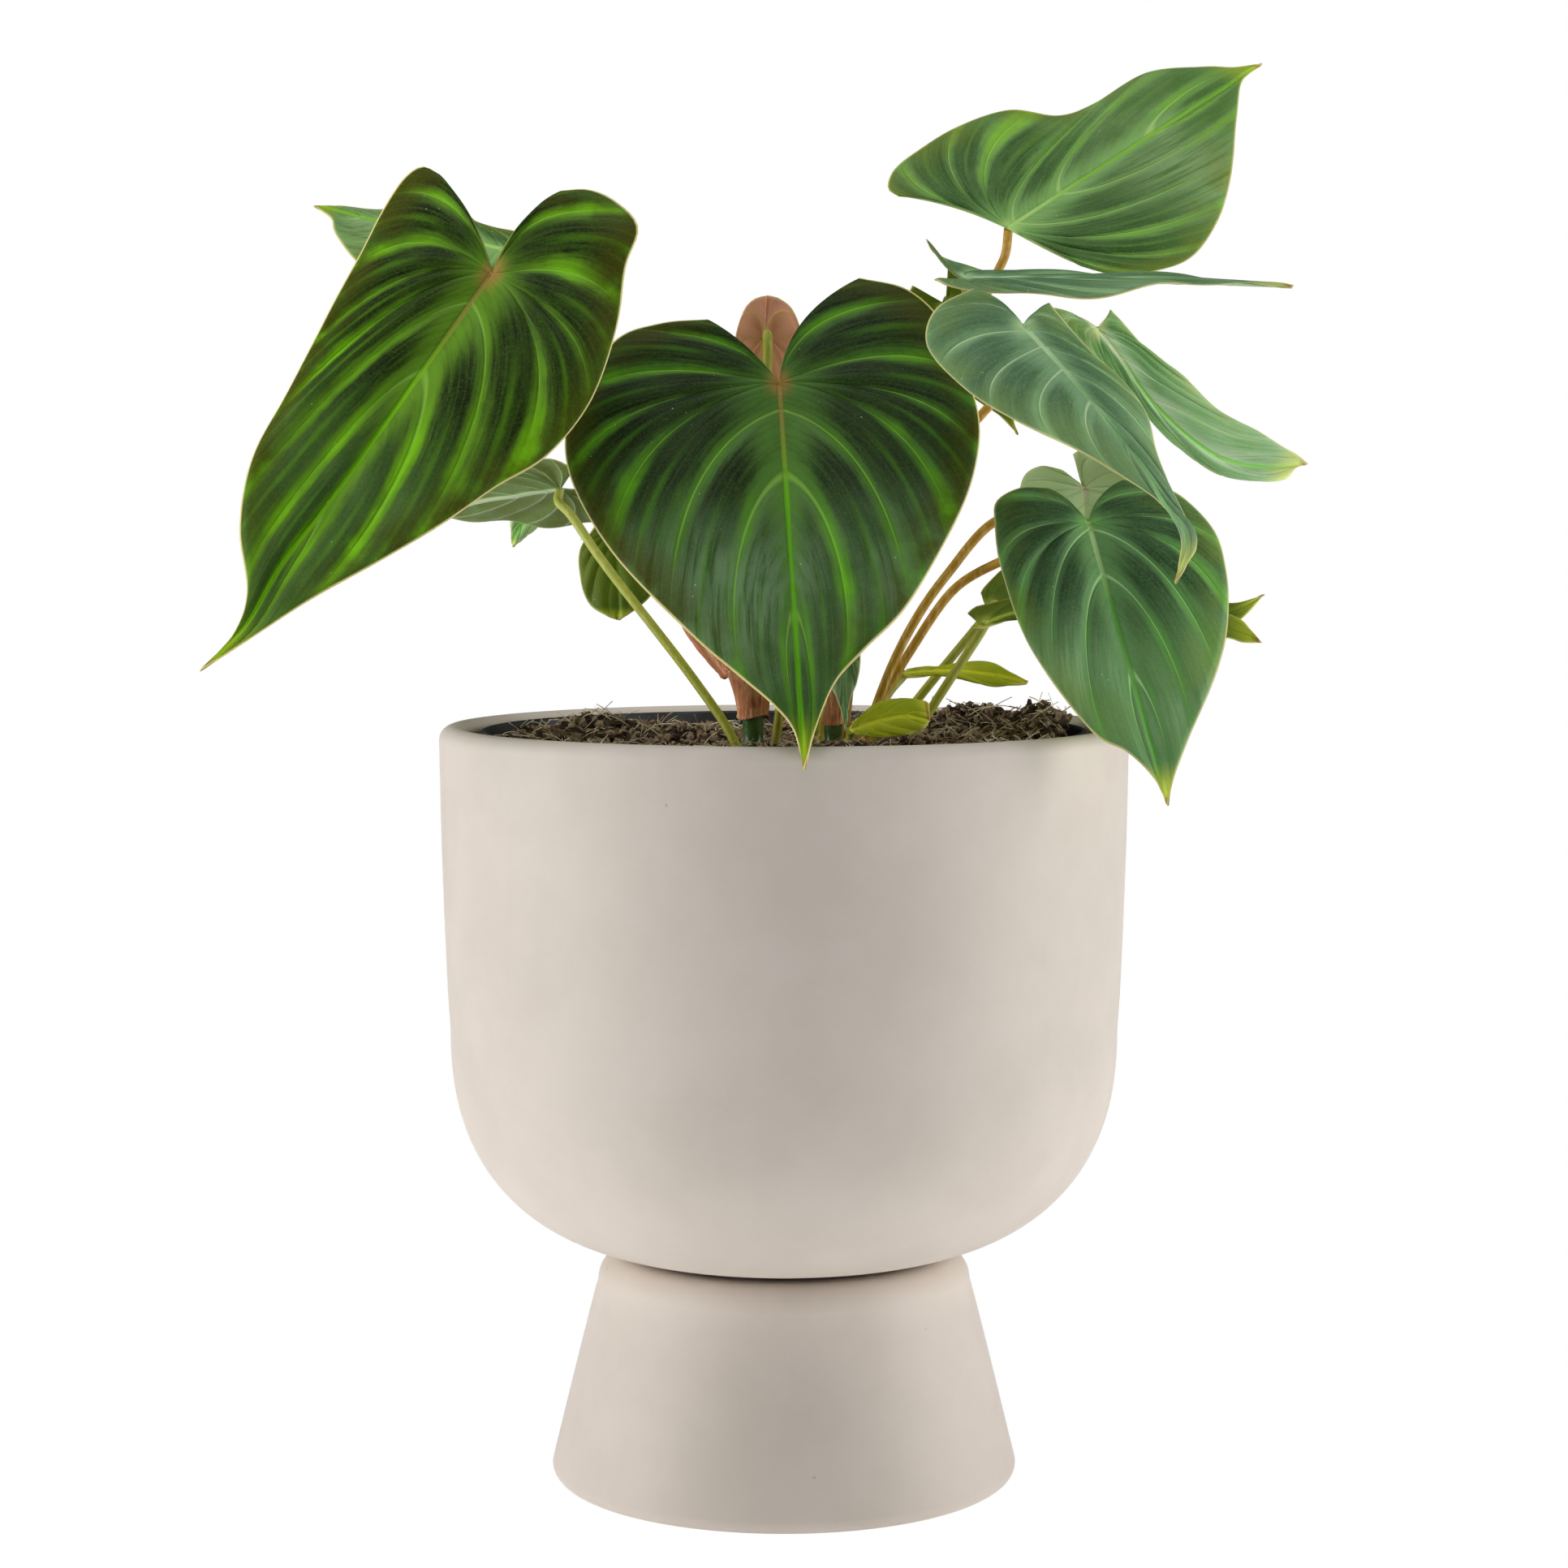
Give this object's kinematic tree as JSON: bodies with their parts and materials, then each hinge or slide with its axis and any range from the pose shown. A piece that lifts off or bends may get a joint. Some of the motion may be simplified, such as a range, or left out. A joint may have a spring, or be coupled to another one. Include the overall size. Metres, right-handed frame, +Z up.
{
  "type": "potted plant",
  "caption": "Young climbing philodendron with velvety heart-shaped leaves in a matte beige ceramic planter with a flared foot.",
  "frame": {"origin": "the middle of the planter's base, on the surface it stands on", "axes": "+Z up, the longest extent; -Y faces the viewer, the side most of the leaves face; +X to the viewer's right"},
  "size_m": [0.2292, 0.1574, 0.3164],
  "materials": {
    "ceramic": "matte",
    "black_plastic": "matte",
    "soil": "rough, fibrous potting mix of peat and bark",
    "leaf_green": "velvety, dark between light green veins",
    "petiole_brown": "satin",
    "stem_green": "satin",
    "sheath_brown": "dry and papery"
  },
  "bodies": {
    "root": {"blade_bract": "sheath_brown", "blade_dark_small": "leaf_green", "blade_front": "leaf_green", "blade_grey_small": "leaf_green", "blade_left": "leaf_green", "blade_left_back": "leaf_green", "blade_left_drop": "leaf_green", "blade_left_under": "leaf_green", "blade_level": "leaf_green", "blade_low_right_a": "leaf_green", "blade_low_right_b": "leaf_green", "blade_narrow": "leaf_green", "blade_olive_back": "leaf_green", "blade_red_young": "leaf_green", "blade_right_far": "leaf_green", "blade_right_low": "leaf_green", "blade_right_upper": "leaf_green", "blade_small_pale": "leaf_green", "blade_top": "leaf_green", "blade_yellow_green": "leaf_green", "bowl": "ceramic", "foot": "ceramic", "nursery_pot": "black_plastic", "petiole_dark_small": "petiole_brown", "petiole_front": "petiole_brown", "petiole_grey_small": "petiole_brown", "petiole_left": "petiole_brown", "petiole_left_back": "petiole_brown", "petiole_left_drop": "petiole_brown", "petiole_left_under": "petiole_brown", "petiole_level": "petiole_brown", "petiole_low_right_a": "petiole_brown", "petiole_low_right_b": "petiole_brown", "petiole_narrow": "petiole_brown", "petiole_olive_back": "petiole_brown", "petiole_red_young": "petiole_brown", "petiole_right_far": "petiole_brown", "petiole_right_low": "petiole_brown", "petiole_right_upper": "petiole_brown", "petiole_small_pale": "petiole_brown", "petiole_top": "petiole_brown", "petiole_yellow_green": "petiole_brown", "sheath_left": "sheath_brown", "sheath_right": "sheath_brown", "soil": "soil", "stem_left": "stem_green", "stem_right": "stem_green"}
  },
  "joints": []
}
